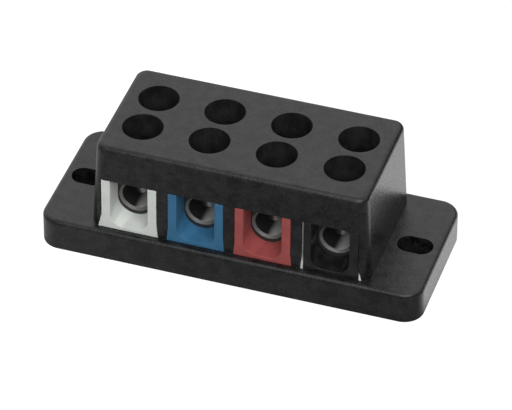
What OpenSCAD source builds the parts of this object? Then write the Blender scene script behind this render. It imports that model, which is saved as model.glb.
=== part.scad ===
// Enclosed four-pole barrier terminal strip.
// One moulded housing: a base flange with a slot at each end, and a raised tower with four
// tunnels that run from front to rear. Each tunnel holds a through-bored lug, and a coloured
// wire guide closes each of its ends. Two clamping screws per lug are reached through the
// round holes in the top. X runs along the poles, Y from front to rear, Z up, and the origin
// is the centre of the flange's underside. Millimetres.

/* [Base flange] */
// How far the flange reaches past the tower at each end
ear_len = 13.4; // [12.6:0.1:25]
// Width of the ledge in front of the tower and behind it
ledge_w = 2.1; // [1.5:0.1:10]
// Thickness of the flange
flange_thick = 8.6; // [7:0.1:12]
// Radius of the flange's corners, seen from above
flange_corner_r = 5.2; // [2:0.1:8]
// Rounding of the flange's top edge
flange_edge_r = 1.2; // [0.4:0.1:2]

/* [Mounting slots] */
// Distance from an end of the flange to the middle of its slot
slot_inset = 6.8; // [6.6:0.1:8]
// Length of a slot, end to end
slot_len = 9.2; // [7:0.1:10]
// Width of a slot
slot_w = 6.2; // [4:0.1:6.6]

/* [Tower] */
// Thickness that each end wall adds beyond the outer poles
end_margin = 1.6; // [1.5:0.1:6]
// Height of the tower above the flange
tower_h = 24.8; // [22:0.1:30]
// Draft of the two end walls, in degrees
end_draft = 3; // [0:0.5:3.5]
// Draft of the front and rear walls, in degrees
face_draft = 1; // [0:0.5:2]
// Radius of the upright corners
tower_corner_r = 3; // [1.8:0.1:4]
// Rounding of the tower's top edge
tower_edge_r = 1.5; // [0.5:0.1:1.8]

/* [Poles] */
// Distance from one pole to the next
pole_pitch = 17.5; // [17:0.1:17.6]
// Distance between the front and rear screw rows
row_spacing = 12.2; // [11:0.1:13]
// Diameter of a screw access hole in the top
access_d = 10.4; // [8.4:0.1:11]

/* [Tunnels] */
// Width of the window at each end of a tunnel
window_w = 14.7; // [14.2:0.1:15]
// Height of a window above the flange
window_h = 14.7; // [14.5:0.1:17]
// How far a window's foot flares towards the next pole
foot_out = 0.35; // [0.1:0.05:0.8]
// How far an outer window's foot flares towards its end of the strip
end_foot_out = 0.95; // [0.1:0.05:1.2]
// Height above the flange at which the flare starts
foot_h = 4; // [2:0.1:5]

/* [Wire guides] */
// Depth of a guide where it stands on the flange
guide_depth = 5.65; // [4.5:0.05:8]
// Clearance between a guide and its window, on each side
guide_gap = 0.1; // [0.05:0.05:0.25]
// Width of the wire channel at the outer face
channel_w = 10; // [8.8:0.1:11]
// Radius of the channel's lower corners at the outer face
channel_corner_r = 3; // [1:0.1:4.2]
// Width of the channel at the lug, where its floor is a half circle
throat_w = 9.5; // [8.6:0.1:10.4]
// Height of the channel's floor above the flange at the outer face
channel_floor = 1; // [0.6:0.1:2]
// Height of the channel's floor above the flange at the lug
throat_floor = 1.6; // [0.6:0.1:2.4]

/* [Lugs] */
// Length of a lug, front to rear
lug_len = 24; // [22:0.1:30]
// Width of a lug
lug_w = 13; // [11.4:0.1:13.4]
// Clearance between a lug's top and its tunnel
lug_top_gap = 0.3; // [0.1:0.1:1]
// Rounding of the lug's lower long edges
lug_edge_r = 1.5; // [0.5:0.1:2]
// Diameter of the wire bore
bore_d = 7.5; // [6:0.1:8]
// Height of the bore's axis above the flange
bore_z = 7; // [5.5:0.1:7.4]
// Chamfer at each mouth of the bore
bore_chamfer = 0.65; // [0.2:0.05:0.9]
// Clearance between a lug's side and its tunnel
lug_gap = 0.1; // [0.05:0.05:0.3]

/* [Screws] */
// Outside diameter of a screw
screw_d = 7.9; // [5.5:0.1:8]
// Length of a screw
screw_len = 12; // [10:0.1:13]
// Height of a screw's tip above the floor of the bore
tip_lift = 1.85; // [1.85:0.05:3]
// Diameter of the dog point
point_d = 4.4; // [2.5:0.1:4.6]
// Length of the dog point
point_len = 1.9; // [1.9:0.1:3]
// Chamfer on the screw's two ends
screw_chamfer = 0.4; // [0.2:0.05:0.6]
// Width of the driver slot
driver_w = 1.3; // [0.8:0.1:1.6]
// Depth of the driver slot
driver_deep = 1.9; // [1.2:0.1:3]
// Running clearance between a screw and its hole, on the radius
thread_gap = 0.05; // [0.03:0.01:0.08]

/* [Underside] */
// Width of a coring pocket
pocket_w = 6; // [4:0.1:6.8]
// Length of a coring pocket
pocket_len = 28; // [20:0.5:30]
// Depth of a coring pocket
pocket_deep = 5.4; // [3:0.1:6]

/* [Hidden] */

pole_colors = ["gainsboro", "steelblue", "indianred", "black"];
poles = len(pole_colors);
front = -1;
rear = 1;

// Levels
deck_z = flange_thick;
top_z = flange_thick + tower_h;
ceiling_z = deck_z + window_h;
bore_axis_z = deck_z + bore_z;
tip_z = bore_axis_z - bore_d / 2 + tip_lift;

// A guide seats on the shoulder at each end of its lug
shoulder_y = lug_len / 2;
lug_h = window_h - lug_top_gap;

// Tower footprint where it meets the flange, and at its top, narrowed by the draft
base_w = poles * pole_pitch + 2 * end_margin;
base_depth = 2 * (shoulder_y + guide_depth);
tower_w = base_w - 2 * tower_h * tan(end_draft);
tower_depth = base_depth - 2 * tower_h * tan(face_draft);

// Flange
flange_len = base_w + 2 * ear_len;
flange_depth = base_depth + 2 * ledge_w;
slot_x = flange_len / 2 - slot_inset;

// How far a cut runs past the face that it opens through
over = 1;
round_fn = 64;

// X of a pole's middle, for poles numbered from 1
function pole_x(i) = (i - (poles + 1) / 2) * pole_pitch;

// Y of the front or rear wall at a height above the flange
function wall_y(h) = base_depth / 2 - h * tan(face_draft);

// A disc with a rounded top edge, for the corners of a moulding
module corner_disc(r, edge_r, h) {
    rotate_extrude($fn = round_fn) {
        square([r, h - edge_r]);
        square([r - edge_r, h]);
        intersection() {
            translate([r - edge_r, h - edge_r])
                circle(r = edge_r, $fn = 32);
            square([r, h]);
        }
    }
}

// Places its child at the four corners of a w by d rectangle, inset by r
module at_corners(w, d, r) {
    for (x = [-1, 1], y = [-1, 1])
        translate([x * (w / 2 - r), y * (d / 2 - r), 0])
            children();
}

module flange_blank() {
    hull()
        at_corners(flange_len, flange_depth, flange_corner_r)
            corner_disc(flange_corner_r, flange_edge_r, flange_thick);
}

// The tapered tower, from inside the flange up to its rounded top edge
module tower_blank() {
    crown_h = tower_edge_r * 2;
    hull() {
        translate([0, 0, deck_z - over])
            at_corners(
                base_w + 2 * over * tan(end_draft),
                base_depth + 2 * over * tan(face_draft),
                tower_corner_r
            )
                cylinder(r = tower_corner_r, h = 0.01, $fn = round_fn);
        translate([0, 0, top_z - crown_h])
            at_corners(tower_w, tower_depth, tower_corner_r)
                corner_disc(tower_corner_r, tower_edge_r, crown_h);
    }
}

module mounting_slot() {
    for (x = [-1, 1])
        translate([x * (slot_len - slot_w) / 2, 0, -over])
            cylinder(d = slot_w, h = flange_thick + 2 * over, $fn = round_fn);
    translate([-(slot_len - slot_w) / 2, -slot_w / 2, -over])
        cube([slot_len - slot_w, slot_w, flange_thick + 2 * over]);
}

// How far the foot of window i flares on one side, -1 for left and 1 for right
function flare(i, side) =
    (i == 1 && side == -1) || (i == poles && side == 1) ? end_foot_out : foot_out;

// Outline of window i seen from the front, with its flared foot, shrunk by gap.
// It stands on the flange, so its lower edge stays where it is.
module window_outline(i, gap) {
    half = window_w / 2 - gap;
    polygon([
        [-half - flare(i, -1), 0],
        [half + flare(i, 1), 0],
        [half, foot_h],
        [half, window_h - gap],
        [-half, window_h - gap],
        [-half, foot_h]
    ]);
}

// Extrudes an outline drawn in X and Z, from y0 to y1
module along_y(y0, y1) {
    translate([0, y1, 0])
        rotate([90, 0, 0])
            linear_extrude(height = y1 - y0)
                children();
}

// The space of one pole: the lug's tunnel, and a window at each end
module tunnel(i) {
    tunnel_w = lug_w + 2 * lug_gap;
    reach = base_depth / 2 + over;
    translate([-tunnel_w / 2, -shoulder_y - over, deck_z])
        cube([tunnel_w, 2 * (shoulder_y + over), window_h]);
    translate([0, 0, deck_z]) {
        along_y(shoulder_y, reach)
            window_outline(i, 0);
        along_y(-reach, -shoulder_y)
            window_outline(i, 0);
    }
}

module access_holes() {
    for (side = [front, rear])
        translate([0, side * row_spacing / 2, ceiling_z - over])
            cylinder(d = access_d, h = top_z - ceiling_z + 2 * over, $fn = round_fn);
}

// Two pockets under each pole keep the base's walls of even thickness
module coring_pockets() {
    for (x = [-1, 1])
        translate([x * pole_pitch / 4 - pocket_w / 2, -pocket_len / 2, -over])
            cube([pocket_w, pocket_len, pocket_deep + over]);
}

module housing() {
    color([0.09, 0.09, 0.1])
        difference() {
            union() {
                flange_blank();
                tower_blank();
            }
            for (x = [-1, 1])
                translate([x * slot_x, 0, 0])
                    mounting_slot();
            for (i = [1:poles])
                translate([pole_x(i), 0, 0]) {
                    tunnel(i);
                    access_holes();
                    coring_pockets();
                }
        }
}

// Side view of a guide in Y and Z: upright against the shoulder, and drafted like the wall
module guide_profile() {
    polygon([
        [shoulder_y, 0],
        [wall_y(0), 0],
        [wall_y(window_h), window_h],
        [shoulder_y, window_h]
    ]);
}

// The wire channel: square-shouldered at the outer face, a half circle at the lug.
// It narrows towards the lug and is open at its top.
module channel() {
    face_y = wall_y(0) + over;
    skin = 0.01;
    r = channel_corner_r;
    hull() {
        along_y(face_y, face_y + skin) {
            for (x = [-1, 1])
                translate([x * (channel_w / 2 - r), channel_floor + r])
                    circle(r = r, $fn = round_fn);
            translate([-channel_w / 2, channel_floor + r])
                square([channel_w, window_h]);
        }
        along_y(shoulder_y - skin, shoulder_y) {
            translate([0, throat_floor + throat_w / 2])
                circle(d = throat_w, $fn = round_fn);
            translate([-throat_w / 2, throat_floor + throat_w / 2])
                square([throat_w, window_h]);
        }
    }
}

module guide_body(i) {
    difference() {
        intersection() {
            along_y(shoulder_y - over, wall_y(0) + over)
                window_outline(i, guide_gap);
            rotate([90, 0, 90])
                linear_extrude(height = 2 * window_w, center = true)
                    guide_profile();
        }
        channel();
    }
}

module guide(i, side) {
    color(pole_colors[i - 1])
        translate([pole_x(i), 0, deck_z])
            scale([1, side, 1])
                guide_body(i);
}

// End view of a lug, with rounded lower corners
module lug_outline() {
    translate([-lug_w / 2, lug_edge_r])
        square([lug_w, lug_h - lug_edge_r]);
    translate([-lug_w / 2 + lug_edge_r, 0])
        square([lug_w - 2 * lug_edge_r, lug_edge_r + 0.01]);
    for (x = [-1, 1])
        translate([x * (lug_w / 2 - lug_edge_r), lug_edge_r])
            circle(r = lug_edge_r, $fn = round_fn);
}

module wire_bore() {
    rotate([90, 0, 0])
        cylinder(d = bore_d, h = 2 * (shoulder_y + over), center = true, $fn = round_fn);
    for (a = [0, 180])
        rotate([0, 0, a])
            translate([0, shoulder_y, 0])
                rotate([90, 0, 0])
                    translate([0, 0, -bore_chamfer])
                        cylinder(
                            r1 = bore_d / 2 + 2 * bore_chamfer,
                            r2 = bore_d / 2,
                            h = 2 * bore_chamfer,
                            $fn = round_fn
                        );
}

module lug(i) {
    color("silver")
        translate([pole_x(i), 0, deck_z])
            difference() {
                along_y(-shoulder_y, shoulder_y)
                    lug_outline();
                translate([0, 0, bore_z])
                    wire_bore();
                for (side = [front, rear])
                    translate([0, side * row_spacing / 2, bore_z])
                        cylinder(d = screw_d + 2 * thread_gap, h = lug_h, $fn = round_fn);
            }
}

// A slotted clamping screw with a dog point, standing on its tip
module screw_body() {
    neck = (screw_d - point_d) / 2;
    difference() {
        rotate_extrude($fn = round_fn)
            polygon([
                [0, 0],
                [point_d / 2 - screw_chamfer, 0],
                [point_d / 2, screw_chamfer],
                [point_d / 2, point_len],
                [screw_d / 2, point_len + neck * 0.8],
                [screw_d / 2, screw_len - screw_chamfer],
                [screw_d / 2 - screw_chamfer, screw_len],
                [0, screw_len]
            ]);
        translate([-screw_d, -driver_w / 2, screw_len - driver_deep])
            cube([2 * screw_d, driver_w, driver_deep + over]);
    }
}

module screw(i, side) {
    color("lightgray")
        translate([pole_x(i), side * row_spacing / 2, tip_z])
            screw_body();
}

housing();
guide(1, front);  // guide_front_1
guide(2, front);  // guide_front_2
guide(3, front);  // guide_front_3
guide(4, front);  // guide_front_4
guide(1, rear);  // guide_rear_1
guide(2, rear);  // guide_rear_2
guide(3, rear);  // guide_rear_3
guide(4, rear);  // guide_rear_4
lug(1);  // lug_1
lug(2);  // lug_2
lug(3);  // lug_3
lug(4);  // lug_4
screw(1, front);  // screw_front_1
screw(2, front);  // screw_front_2
screw(3, front);  // screw_front_3
screw(4, front);  // screw_front_4
screw(1, rear);  // screw_rear_1
screw(2, rear);  // screw_rear_2
screw(3, rear);  // screw_rear_3
screw(4, rear);  // screw_rear_4
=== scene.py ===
from math import cos, radians, sin

import bmesh
import bpy
from mathutils import Matrix, Vector


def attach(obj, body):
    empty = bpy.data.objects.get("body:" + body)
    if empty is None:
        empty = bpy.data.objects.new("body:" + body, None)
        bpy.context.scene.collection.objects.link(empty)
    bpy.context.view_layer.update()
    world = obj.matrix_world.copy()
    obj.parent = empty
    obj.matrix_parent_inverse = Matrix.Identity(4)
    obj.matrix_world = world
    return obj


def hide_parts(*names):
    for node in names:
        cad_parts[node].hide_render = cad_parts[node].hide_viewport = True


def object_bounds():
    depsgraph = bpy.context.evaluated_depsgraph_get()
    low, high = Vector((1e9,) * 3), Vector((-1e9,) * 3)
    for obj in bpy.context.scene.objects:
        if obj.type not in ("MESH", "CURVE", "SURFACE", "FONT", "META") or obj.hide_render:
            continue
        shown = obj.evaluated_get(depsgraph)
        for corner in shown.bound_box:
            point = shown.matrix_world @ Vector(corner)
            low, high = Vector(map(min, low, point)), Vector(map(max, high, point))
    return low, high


# An enclosed four-pole barrier terminal strip: a black moulded housing with a slotted flange,
# coloured wire guides in its windows, plated lugs behind them and a clamping screw in each of
# its eight access holes. Everything is in metres.

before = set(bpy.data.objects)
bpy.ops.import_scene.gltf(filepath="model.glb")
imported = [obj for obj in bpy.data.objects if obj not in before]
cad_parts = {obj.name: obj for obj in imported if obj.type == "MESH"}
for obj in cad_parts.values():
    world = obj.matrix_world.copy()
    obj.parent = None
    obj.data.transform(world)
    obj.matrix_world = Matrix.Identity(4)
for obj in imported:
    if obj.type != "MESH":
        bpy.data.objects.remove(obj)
cad_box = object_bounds()

MM = 0.001

# The strip's own measures. An edge is a narrow band round an axis, from the radius where a
# finish starts to change to the radius where it has changed.
POLE_COLORS = ("white", "blue", "red", "black")
POLE_PITCH = 17.5 * MM
DRIVER_HOLE_Y = 6.1 * MM
DRIVER_HOLE_EDGE = (5.15 * MM, 5.3 * MM)
BORE_AXIS_Z = 15.6 * MM
BORE_EDGE = (3.74 * MM, 3.82 * MM)
CHAMFER_EDGE = (4.35 * MM, 4.5 * MM)

# Each guide plastic's two tones, which mottle together, its range of roughness and its IOR.
GUIDE_PLASTICS = {
    "white": ((0.585, 0.61, 0.58), (0.635, 0.66, 0.63), (0.38, 0.5), 1.46),
    "blue": ((0.029, 0.115, 0.216), (0.036, 0.133, 0.244), (0.36, 0.48), 1.46),
    "red": ((0.258, 0.056, 0.053), (0.308, 0.07, 0.065), (0.36, 0.48), 1.46),
    "black": ((0.004, 0.004, 0.004), (0.012, 0.012, 0.0124), (0.14, 0.24), 1.5),
}
# The guide that gets painted glints on its edges, and the colour painted on for them.
GLINTED_GUIDE = "black"
GLINT_WHITE = (0.9, 0.9, 0.9, 1)

# How much of the tin plate's brightness each of its faces keeps, as painted light and shade: dark on
# the faces and down the bore as if in shade, lighter on the lit chamfer ring and on a lit patch low on
# the right of the bore.
SHADED_FACE_TONE = 0.05
LIT_CHAMFER_TONE = 0.21
SHADED_BORE_TONE = 0.03
LIT_BORE_PATCH_TONE = 0.85

# How far each kind of piece is rounded over at its sharp edges, the angle from which an edge
# is sharp, and the angle from which it is still shaded as a crease after that.
HOUSING_ROUNDING = 0.22 * MM
GUIDE_ROUNDING = 0.2 * MM
LUG_ROUNDING = 0.2 * MM
SCREW_ROUNDING = 0.12 * MM
SHARP = radians(30)
CREASED = radians(34)

# The paper's tone to the camera, and where the lamps stand.
WHITE = (1, 1, 1, 1)
PAPER_TONE = 0.87
STRIP_MIDDLE = (0, 0, 20 * MM)
FRONT_LAMPS = (0.38, -0.9, 1.1)
REAR_LAMP = (-1.15, 0.8, 0.45)


# Node trees

class Nodes:
    """A node tree under construction."""

    def __init__(self, tree):
        self.tree = tree

    def new(self, kind, **settings):
        """A new node of that kind, with its settings."""
        node = self.tree.nodes.new(kind)
        for name, value in settings.items():
            setattr(node, name, value)
        return node

    def join(self, source, target):
        self.tree.links.new(source, target)

    def split(self, source):
        """A vector's x, y and z."""
        n = self.new("ShaderNodeSeparateXYZ")
        self.join(source, n.inputs["Vector"])
        return n.outputs["X"], n.outputs["Y"], n.outputs["Z"]

    def math(self, operation, value, *others):
        """Values put together from left to right; all but the first may be plain numbers."""
        for other in others or (0.0,):
            m = self.new("ShaderNodeMath", operation=operation)
            self.join(value, m.inputs[0])
            if isinstance(other, float):
                m.inputs[1].default_value = other
            else:
                self.join(other, m.inputs[1])
            value = m.outputs["Value"]
        return value

    def move(self, source, start, end, low, high, interpolation="LINEAR"):
        """A value that goes from low to high while the source goes from start to end."""
        m = self.new("ShaderNodeMapRange", interpolation_type=interpolation)
        m.inputs["From Min"].default_value = start
        m.inputs["From Max"].default_value = end
        m.inputs["To Min"].default_value = low
        m.inputs["To Max"].default_value = high
        self.join(source, m.inputs["Value"])
        return m.outputs["Result"]

    def fade(self, source, start, end, low, high):
        """The same as move, easing in and out."""
        return self.move(source, start, end, low, high, "SMOOTHSTEP")


class Finish(Nodes):
    """A material under construction, with one shader and Object coordinates."""

    def __init__(self, name):
        self.material = bpy.data.materials.new(name)
        self.material.use_nodes = True
        super().__init__(self.material.node_tree)
        self.shader = self.tree.nodes["Principled BSDF"]
        self.place = self.new("ShaderNodeTexCoord").outputs["Object"]

    def set(self, **values):
        """Plain values on the shader's own sockets."""
        for name, value in values.items():
            self.shader.inputs[name.replace("_", " ")].default_value = value

    def feed(self, **patterns):
        """Patterns joined to the shader's sockets."""
        for name, pattern in patterns.items():
            self.join(pattern, self.shader.inputs[name.replace("_", " ")])

    def noise(self, size, detail=2.0, roughness=0.5, place=None):
        """Cloudy noise whose blobs are about size metres across."""
        n = self.new("ShaderNodeTexNoise")
        n.inputs["Scale"].default_value = 1.0 / size
        n.inputs["Detail"].default_value = detail
        n.inputs["Roughness"].default_value = roughness
        self.join(place or self.place, n.inputs["Vector"])
        return n.outputs["Fac"]

    def stretched(self, scale):
        """Object coordinates stretched along the axes, for grain that runs one way."""
        m = self.new("ShaderNodeMapping")
        m.inputs["Scale"].default_value = scale
        self.join(self.place, m.inputs["Vector"])
        return m.outputs["Vector"]

    def ramp(self, source, low, high, start=0.35, end=0.65):
        """Two colours blended over the middle of a pattern's range."""
        r = self.new("ShaderNodeValToRGB")
        r.color_ramp.elements[0].position = start
        r.color_ramp.elements[1].position = end
        r.color_ramp.elements[0].color = (*low, 1)
        r.color_ramp.elements[1].color = (*high, 1)
        self.join(source, r.inputs["Fac"])
        return r.outputs["Color"]

    def spread(self, source, low, high):
        """A noise's usual range, 0.3 to 0.7, moved to low to high."""
        return self.move(source, 0.3, 0.7, low, high)

    def relief(self, source, depth, strength=1.0, over=None):
        """A bump of that depth in metres, laid over another where one is given."""
        b = self.new("ShaderNodeBump")
        b.inputs["Distance"].default_value = depth
        b.inputs["Strength"].default_value = strength
        self.join(source, b.inputs["Height"])
        if over is not None:
            self.join(over, b.inputs["Normal"])
        return b.outputs["Normal"]

    def from_nearest_pole(self):
        """Place along x from the middle of the nearest pole, then y and z."""
        x, y, z = self.split(self.place)
        # Whole pitches are added first, because a remainder is only good for a value above zero.
        from_left = self.math("ADD", x, len(POLE_COLORS) * POLE_PITCH)
        across = self.math("SUBTRACT", self.math("MODULO", from_left, POLE_PITCH), POLE_PITCH / 2)
        return across, y, z

    def radius(self, first, second):
        """Distance from an axis, given the two distances across it."""
        first_squared = self.math("MULTIPLY", first, first)
        second_squared = self.math("MULTIPLY", second, second)
        return self.math("SQRT", self.math("ADD", first_squared, second_squared))


def phenolic():
    """Moulded black with a fine spark-eroded grain, duller down the driver holes."""
    f = Finish("black_phenolic")
    f.set(IOR=1.53, Metallic=0.0, Specular_Tint=(0.955, 0.965, 1.0, 1.0))
    speckle = f.math("ADD", f.noise(0.55 * MM, detail=2, roughness=0.7), f.noise(3 * MM, detail=2))
    speckle = f.math("MULTIPLY", speckle, 0.5)
    black = f.ramp(speckle, (0.001, 0.001, 0.001), (0.011, 0.011, 0.0115), 0.4, 0.6)
    across, forward, up = f.from_nearest_pole()
    from_hole = f.radius(across, f.math("SUBTRACT", f.math("ABSOLUTE", forward), DRIVER_HOLE_Y))
    in_hole = f.fade(from_hole, *DRIVER_HOLE_EDGE, 0.38, 0.0)
    above_flange = f.fade(up, 14 * MM, 15 * MM, 0.0, 1.0)
    rough = f.spread(f.noise(0.4 * MM, detail=2), 0.24, 0.33)
    rough = f.math("ADD", rough, f.math("MULTIPLY", in_hole, above_flange))
    grain = f.relief(f.noise(0.42 * MM, detail=3, roughness=0.6), 0.06 * MM, 0.8)
    flow = f.relief(f.noise(5 * MM, detail=1), 0.05 * MM, 0.25, over=grain)
    f.feed(Base_Color=black, Roughness=rough, Normal=flow)
    return f.material


def painted_glints(f, color):
    """A front guide's colour with painted glints, paler up its left edge and at its right foot."""
    across, forward, up = f.from_nearest_pole()
    left_edge = f.math(
        "MULTIPLY",
        f.fade(across, -6.95 * MM, -6.75 * MM, 1.0, 0.0),
        f.fade(up, 10 * MM, 14 * MM, 0.6, 0.16),
    )
    right_foot = f.math(
        "MULTIPLY",
        f.fade(across, 7.55 * MM, 7.65 * MM, 0.0, 0.8),
        f.fade(up, 10 * MM, 11.5 * MM, 1.0, 0.0),
    )
    in_front = f.fade(forward, -1 * MM, 1 * MM, 1.0, 0.0)
    mark = f.math("MULTIPLY", f.math("MAXIMUM", left_edge, right_foot), in_front)
    paler = f.new("ShaderNodeMix", data_type="RGBA")
    f.join(mark, paler.inputs["Factor"])
    f.join(color, paler.inputs["A"])
    paler.inputs["B"].default_value = GLINT_WHITE
    return paler.outputs["Result"]


def guide_plastic(name):
    """Smooth moulded nylon with slight sinks; the black has painted glints up its left edge and at its
    right foot.
    """
    low, high, roughness, ior = GUIDE_PLASTICS[name]
    f = Finish(f"{name}_nylon")
    f.set(IOR=ior, Metallic=0.0)
    color = f.ramp(f.noise(3.5 * MM, detail=4), low, high)
    # Painted glints: the black guide is paler up its left edge and at its right foot.
    if name == GLINTED_GUIDE:
        color = painted_glints(f, color)
    rough = f.spread(f.noise(0.6 * MM), *roughness)
    grain = f.relief(f.noise(0.2 * MM, detail=2), 0.012 * MM, 0.3)
    sink = f.relief(f.noise(4 * MM, detail=1), 0.08 * MM, 0.25, over=grain)
    f.feed(Base_Color=color, Roughness=rough, Normal=sink)
    return f.material


def tin_plate():
    """Dull sawn plating with painted light and shade: dark faces and a dark bore as if shaded, a lit
    chamfer ring, and a lit patch low on the right inside the bore.
    """
    f = Finish("tin_plate")
    f.set(Metallic=0.6)
    cloud = f.noise(2.2 * MM, detail=5, roughness=0.6)
    plated = f.ramp(cloud, (0.8, 0.8, 0.78), (1.0, 1.0, 0.985))
    across, _, up = f.from_nearest_pole()
    above = f.math("SUBTRACT", up, BORE_AXIS_Z)
    from_axis = f.radius(across, above)
    down_right = f.math("MULTIPLY", f.math("SUBTRACT", across, above), cos(radians(45)))
    # Painted shade on the faces and down the bore, painted light on the chamfer and low on the right of
    # the bore.
    tone = f.new("ShaderNodeMix", data_type="FLOAT")
    f.join(f.fade(from_axis, *BORE_EDGE, 1.0, 0.0), tone.inputs["Factor"])
    f.join(f.fade(from_axis, *CHAMFER_EDGE, LIT_CHAMFER_TONE, SHADED_FACE_TONE), tone.inputs["A"])
    f.join(f.fade(down_right, 1.9 * MM, 3.5 * MM, SHADED_BORE_TONE, LIT_BORE_PATCH_TONE), tone.inputs["B"])
    shade = f.new("ShaderNodeVectorMath", operation="SCALE")
    f.join(plated, shade.inputs["Vector"])
    f.join(tone.outputs["Result"], shade.inputs["Scale"])
    rough = f.spread(f.noise(0.8 * MM, detail=4), 0.5, 0.68)
    saw = f.noise(0.25 * MM, detail=2, place=f.stretched((0.12, 1.0, 1.0)))
    f.feed(Base_Color=shade.outputs["Vector"], Roughness=rough, Normal=f.relief(saw, 0.02 * MM, 0.5))
    return f.material


def zinc_plate():
    """Bright clouded plating over fine turning marks."""
    f = Finish("zinc_plate")
    f.set(Metallic=1.0)
    plated = f.ramp(f.noise(1.6 * MM, detail=4), (0.38, 0.38, 0.37), (0.55, 0.55, 0.53))
    rough = f.spread(f.noise(0.5 * MM, detail=3), 0.28, 0.42)
    turned = f.noise(0.18 * MM, detail=2, place=f.stretched((0.3, 0.3, 1.0)))
    f.feed(Base_Color=plated, Roughness=rough, Normal=f.relief(turned, 0.015 * MM, 0.5))
    return f.material


# Pieces

def finished_copy(node, name, body, material, rounding):
    """A copy of a CAD node with its sharp edges rounded over, standing for the node itself."""
    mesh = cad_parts[node].data.copy()
    mesh.name = name
    bm = bmesh.new()
    bm.from_mesh(mesh)
    bmesh.ops.remove_doubles(bm, verts=bm.verts, dist=0.001 * MM)
    bmesh.ops.dissolve_limit(bm, angle_limit=radians(0.5), verts=bm.verts, edges=bm.edges)
    sharp = [e for e in bm.edges if e.is_manifold and e.calc_face_angle() > SHARP]
    bmesh.ops.bevel(
        bm, geom=sharp, offset=rounding, offset_type="OFFSET", segments=2, profile=0.5,
        affect="EDGES", clamp_overlap=True, material=-1,
    )
    bmesh.ops.triangulate(bm, faces=[f for f in bm.faces if len(f.verts) > 4])
    bm.to_mesh(mesh)
    bm.free()
    mesh.shade_smooth()
    mesh.set_sharp_from_angle(angle=CREASED)
    mesh.materials.clear()
    mesh.materials.append(material)
    piece = bpy.data.objects.new(name, mesh)
    bpy.context.scene.collection.objects.link(piece)
    flats = piece.modifiers.new("flat_faces_stay_flat", "WEIGHTED_NORMAL")
    flats.keep_sharp = True
    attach(piece, body)
    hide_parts(node)


def build_pieces():
    """The housing, then each pole from the left: its guides, its screws and its lug."""
    guide_finish = {color: guide_plastic(color) for color in POLE_COLORS}
    tin = tin_plate()
    zinc = zinc_plate()
    finished_copy("housing", "housing_moulding", "body", phenolic(), HOUSING_ROUNDING)
    for pole, color in enumerate(POLE_COLORS, start=1):
        for side in ("front", "rear"):
            finished_copy(
                f"guide_{side}_{pole}", f"wire_guide_{side}_{pole}_{color}", "body",
                guide_finish[color], GUIDE_ROUNDING,
            )
            screw = f"screw_{side}_{pole}"
            finished_copy(screw, f"clamp_{screw}", screw, zinc, SCREW_ROUNDING)
        finished_copy(f"lug_{pole}", f"box_lug_{pole}", "body", tin, LUG_ROUNDING)


# Stage

def paper_in_gloss(f, x, y):
    """How bright the painted glow that reflections see is at each place on the paper: most behind the
    strip and past its ends, a little before it and in the painted shade of its left end, and nothing
    under it or far away."""
    across = f.math("ABSOLUTE", x)
    outside_painted_left_shade = f.math(
        "MAXIMUM",
        f.fade(x, -100 * MM, -80 * MM, 0.8, 0.15),
        f.fade(x, -50 * MM, -40 * MM, 0.0, 1.0),
    )
    behind = f.math("MULTIPLY", f.fade(y, -8 * MM, 8 * MM, 0.0, 1.0), outside_painted_left_shade)
    past_ends = f.math(
        "MULTIPLY",
        f.fade(across, 46 * MM, 52 * MM, 0.0, 1.0),
        f.fade(y, -18 * MM, -8 * MM, 0.0, 1.0),
        f.fade(across, 55 * MM, 62 * MM, 1.0, 0.0),
        f.fade(x, -20 * MM, 20 * MM, 0.5, 1.0),
    )
    before = f.math(
        "MULTIPLY",
        f.fade(x, 0.0, 45 * MM, 0.14, 0.08),
        f.fade(y, -42 * MM, -26 * MM, 0.0, 1.0),
    )
    bright = f.math("MAXIMUM", behind, past_ends, before)

    distance = f.new("ShaderNodeVectorMath", operation="LENGTH")
    f.join(f.place, distance.inputs["Vector"])
    near = f.fade(distance.outputs["Value"], 100 * MM, 240 * MM, 1.0, 0.0)

    # Painted shade: the paper under the strip shows nothing in the gloss.
    beside = f.math("GREATER_THAN", across, cad_box[1][0])
    beyond = f.math("GREATER_THAN", f.math("ABSOLUTE", y), cad_box[1][1])
    uncovered = f.math("MAXIMUM", beside, beyond)
    return f.math("MULTIPLY", bright, near, uncovered)


def lay_floor():
    """A paper sweep, white to the camera, with a painted glow round the strip that only reflections
    show.
    """
    bm = bmesh.new()
    bmesh.ops.create_grid(bm, x_segments=1, y_segments=1, size=3.0)
    mesh = bpy.data.meshes.new("floor")
    bm.to_mesh(mesh)
    bm.free()
    mesh.transform(Matrix.Translation((0, 0, cad_box[0][2])))
    floor = bpy.data.objects.new("floor", mesh)
    bpy.context.scene.collection.objects.link(floor)

    f = Finish("paper_sweep")
    f.set(Roughness=0.9, Specular_IOR_Level=0.1)
    x, y, _ = f.split(f.place)
    # Painted light: the paper is paler on the left, to brighten its reflection in the strip there.
    painted_light_on_left = f.fade(x, -50 * MM, -5 * MM, 0.36, 0.22)
    f.feed(Base_Color=painted_light_on_left)
    path = f.new("ShaderNodeLightPath")
    # Painted reflection: a glow that only glossy and transmission rays see, as bright as paper_in_gloss
    # gives.
    mirrored = f.math("MAXIMUM", path.outputs["Is Glossy Ray"], path.outputs["Is Transmission Ray"])
    mirrored = f.math("MULTIPLY", mirrored, paper_in_gloss(f, x, y))
    direct = f.math("MULTIPLY", path.outputs["Is Camera Ray"], PAPER_TONE)
    white = f.new("ShaderNodeEmission")
    f.join(f.math("ADD", mirrored, direct), white.inputs["Strength"])
    both = f.new("ShaderNodeAddShader")
    f.join(f.shader.outputs["BSDF"], both.inputs[0])
    f.join(white.outputs["Emission"], both.inputs[1])
    f.join(both.outputs["Shader"], f.tree.nodes["Material Output"].inputs["Surface"])
    mesh.materials.append(f.material)


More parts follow.
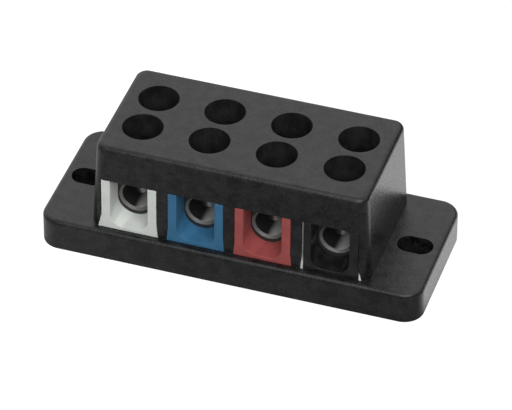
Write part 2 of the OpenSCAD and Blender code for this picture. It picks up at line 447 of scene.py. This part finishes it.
def light_world(overhead, level):
    """Soft light from overhead that falls off towards the horizon, soonest on the right, and is
    dimmer in front and on dull surfaces. The camera sees a white backdrop."""
    world = bpy.data.worlds.new("studio")
    bpy.context.scene.world = world
    world.use_nodes = True
    w = Nodes(world.node_tree)
    x, y, z = w.split(w.new("ShaderNodeTexCoord").outputs["Generated"])
    height = w.math("ADD", z, w.fade(x, 0.1, -0.25, 0.0, 0.33))
    glow = w.fade(height, 0.2, 0.6, level, overhead)
    from_rear = w.fade(y, -0.3, 0.3, 0.35, 1.0)
    path = w.new("ShaderNodeLightPath")
    half_on_dull = w.move(path.outputs["Is Diffuse Ray"], 0.0, 1.0, 1.0, 0.5)
    room = w.tree.nodes["Background"]
    room.inputs["Color"].default_value = WHITE
    w.join(w.math("MULTIPLY", glow, from_rear, half_on_dull), room.inputs["Strength"])
    backdrop = w.new("ShaderNodeBackground")
    backdrop.inputs["Color"].default_value = WHITE
    seen = w.new("ShaderNodeMixShader")
    w.join(path.outputs["Is Camera Ray"], seen.inputs["Fac"])
    w.join(room.outputs["Background"], seen.inputs[1])
    w.join(backdrop.outputs["Background"], seen.inputs[2])
    w.join(seen.outputs["Shader"], w.tree.nodes["World Output"].inputs["Surface"])


def softbox(name, place, size, power, mirrored=True):
    """A square lamp that shines on the strip; one that isn't mirrored doesn't show in the gloss."""
    lamp = bpy.data.lights.new(name, "AREA")
    lamp.shape = "SQUARE"
    lamp.size = size
    lamp.energy = power
    box = bpy.data.objects.new(name, lamp)
    towards = Vector(STRIP_MIDDLE) - Vector(place)
    box.matrix_world = Matrix.Translation(place) @ towards.to_track_quat("-Z", "Y").to_matrix().to_4x4()
    box.visible_glossy = mirrored
    bpy.context.scene.collection.objects.link(box)


def set_camera():
    """Above and to the right of the front, at the far end of a long lens."""
    place = (0.241283, -0.739732, 0.644376)
    turn, height, roll = radians(17.965), radians(39.174), radians(0.266)
    back = Vector((sin(turn) * cos(height), -cos(turn) * cos(height), sin(height)))
    level = Vector((cos(turn), sin(turn), 0))
    upright = back.cross(level)
    right = level * cos(roll) + upright * sin(roll)
    up = upright * cos(roll) - level * sin(roll)
    lens = bpy.data.cameras.new("camera")
    lens.sensor_fit = "HORIZONTAL"
    lens.sensor_width = 36
    lens.lens = 280.4
    lens.clip_start = 0.05
    lens.clip_end = 20
    camera = bpy.data.objects.new("camera", lens)
    turned = Matrix((right, up, back)).transposed().to_4x4()
    camera.matrix_world = Matrix.Translation(place) @ turned
    bpy.context.scene.collection.objects.link(camera)
    bpy.context.scene.camera = camera


build_pieces()
lay_floor()
light_world(overhead=1.03, level=0.05)
softbox("front_softbox", FRONT_LAMPS, size=1.4, power=12)
softbox("front_fill", FRONT_LAMPS, size=1.4, power=22, mirrored=False)
softbox("rear_softbox", REAR_LAMP, size=1.1, power=7, mirrored=False)
set_camera()
bpy.context.scene.view_settings.view_transform = "Standard"
